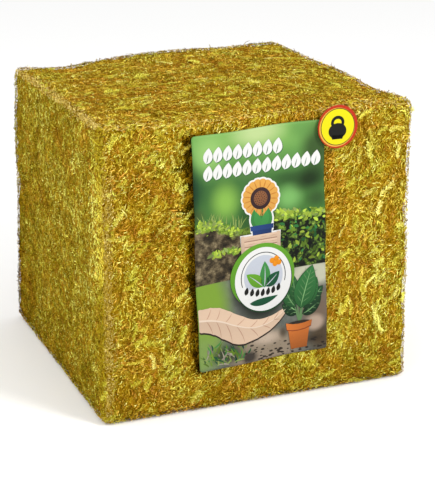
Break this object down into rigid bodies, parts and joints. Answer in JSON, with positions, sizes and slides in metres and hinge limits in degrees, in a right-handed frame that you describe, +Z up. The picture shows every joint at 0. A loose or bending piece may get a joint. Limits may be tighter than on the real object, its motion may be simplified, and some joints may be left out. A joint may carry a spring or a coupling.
{
  "type": "compressed moss block",
  "caption": "Pressed, squared block of dried moss with a printed card label on its front and a round sticker over the label's upper corner.",
  "frame": {"origin": "centre of the whole part's box, on the flat base that the block stands on", "axes": "+Z up; -Y is the way the labelled front face looks; +X is the viewer's right when facing the label"},
  "size_m": [0.2966, 0.2876, 0.2654],
  "materials": {
    "moss": "dry, matt, fibrous golden-olive moss",
    "label": "glossy printed card",
    "sticker": "glossy printed paper"
  },
  "bodies": {
    "root": {"moss_block": "moss", "label_card": "label", "round_sticker": "sticker"}
  },
  "joints": []
}
